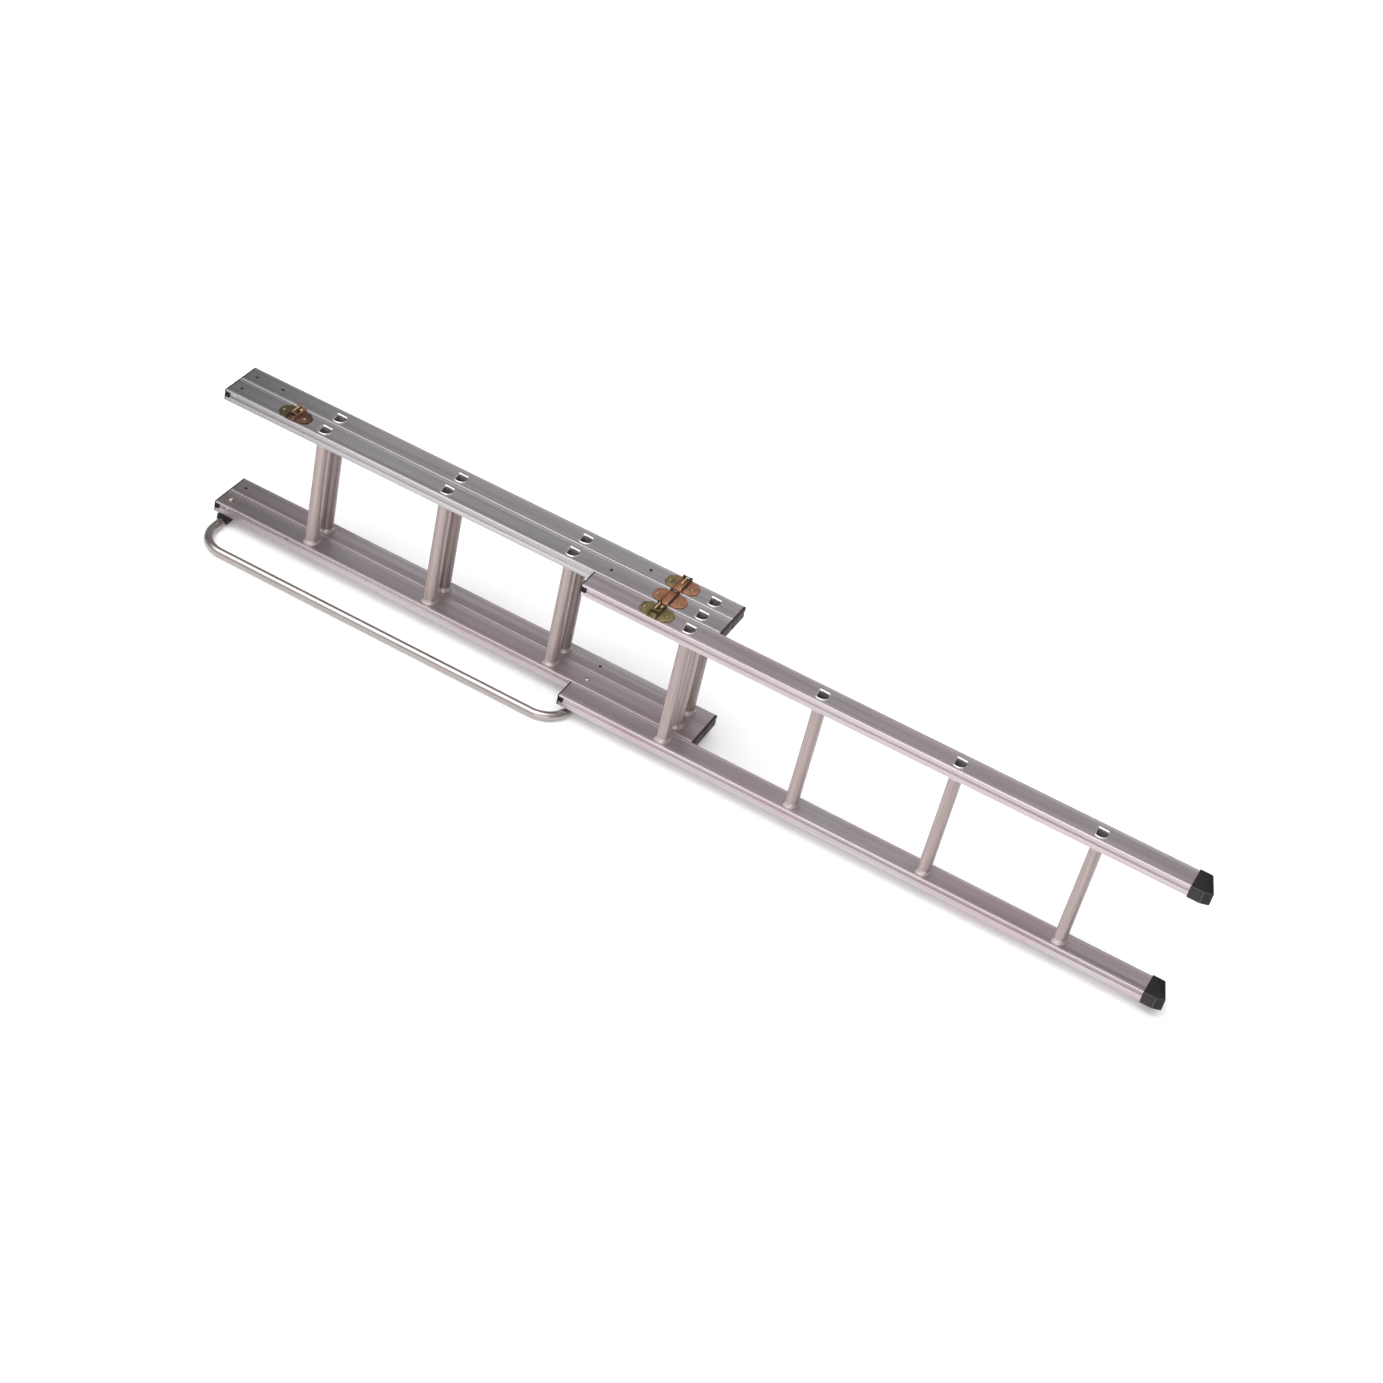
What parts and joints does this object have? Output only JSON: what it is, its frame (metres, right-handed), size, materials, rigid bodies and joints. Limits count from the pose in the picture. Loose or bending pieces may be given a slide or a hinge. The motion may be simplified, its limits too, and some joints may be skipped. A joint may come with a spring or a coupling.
{
  "type": "sliding loft ladder",
  "caption": "Three-section sliding aluminium loft ladder with hollow rungs, rubber feet, yellow-zinc catches and a bent tube handrail, lying on its side with the lower section drawn out.",
  "frame": {"origin": "under the middle of the ladder's bounding box, on the surface it lies on", "axes": "+X along the ladder towards its feet, +Y towards its back (away from the climber), +Z across its width from the left stiles to the right stiles, which is up as it lies"},
  "size_m": [2.121, 0.1976, 0.3345],
  "materials": {
    "stile_aluminium": "drawn extrusion, satin, with fine lines along its length",
    "rung_aluminium": "mill finish, slightly warm",
    "rivet_aluminium": "satin",
    "handrail_metal": "bright drawn tube",
    "black_rubber": "moulded, matt",
    "black_plastic": "moulded, fine grain",
    "yellow_zinc": "yellow-passivated zinc plating, iridescent",
    "bright_zinc": "bright zinc plating",
    "copper_zinc": "copper-toned passivated zinc",
    "spring_steel": "bright drawn wire"
  },
  "bodies": {
    "top_section": {"top_stile_left": "stile_aluminium", "top_stile_right": "stile_aluminium", "top_rung_1": "rung_aluminium", "top_rung_2": "rung_aluminium", "top_rung_3": "rung_aluminium", "top_rung_4": "rung_aluminium", "top_head_plug_left": "black_plastic", "top_head_plug_right": "black_plastic", "top_end_cap_left": "black_plastic", "top_end_cap_right": "black_plastic", "top_plug_rivets": "rivet_aluminium", "top_keeper_plate": "yellow_zinc", "top_keeper_rivets": "bright_zinc", "top_keeper_spring": "spring_steel"},
    "middle_section": {"middle_stile_left": "stile_aluminium", "middle_stile_right": "stile_aluminium", "middle_rung_1": "rung_aluminium", "middle_rung_2": "rung_aluminium", "middle_rung_3": "rung_aluminium", "middle_rung_4": "rung_aluminium", "middle_head_plug_left": "black_plastic", "middle_head_plug_right": "black_plastic", "middle_end_cap_left": "black_plastic", "middle_end_cap_right": "black_plastic", "middle_plug_rivets": "rivet_aluminium", "middle_keeper_plate": "yellow_zinc", "middle_keeper_rivets": "bright_zinc", "middle_catch_plate": "yellow_zinc", "middle_catch_rivets": "bright_zinc", "middle_catch_stud": "bright_zinc", "middle_catch_spring": "spring_steel", "handrail_tube": "handrail_metal", "handrail_plugs": "black_plastic", "handrail_saddle_head": "black_plastic", "handrail_saddle_tail": "black_plastic", "handrail_bolts": "copper_zinc", "handrail_inserts": "bright_zinc"},
    "lower_section": {"lower_stile_left": "stile_aluminium", "lower_stile_right": "stile_aluminium", "lower_rung_1": "rung_aluminium", "lower_rung_2": "rung_aluminium", "lower_rung_3": "rung_aluminium", "lower_rung_4": "rung_aluminium", "lower_head_plug_left": "black_plastic", "lower_head_plug_right": "black_plastic", "lower_foot_left": "black_rubber", "lower_foot_right": "black_rubber", "lower_plug_rivets": "rivet_aluminium", "lower_catch_plate": "yellow_zinc", "lower_catch_rivets": "bright_zinc", "lower_catch_stud": "bright_zinc", "lower_catch_spring": "spring_steel"},
    "middle_catch": {"middle_catch_slide": "yellow_zinc"},
    "lower_catch": {"lower_catch_slide": "yellow_zinc"}
  },
  "joints": [
    {"name": "middle_section_slide", "type": "slide", "parent": "top_section", "child": "middle_section", "axis": [1, 0, 0], "range_m": [0, 0.84]},
    {"name": "lower_section_slide", "type": "slide", "parent": "middle_section", "child": "lower_section", "axis": [1, 0, 0], "range_m": [-0.84, 0]},
    {"name": "middle_catch_travel", "type": "slide", "parent": "middle_section", "child": "middle_catch", "axis": [0, 1, 0], "range_m": [0, 0.014], "deforming": ["middle_catch_spring"]},
    {"name": "lower_catch_travel", "type": "slide", "parent": "lower_section", "child": "lower_catch", "axis": [0, 1, 0], "range_m": [0, 0.014], "deforming": ["lower_catch_spring"]}
  ]
}
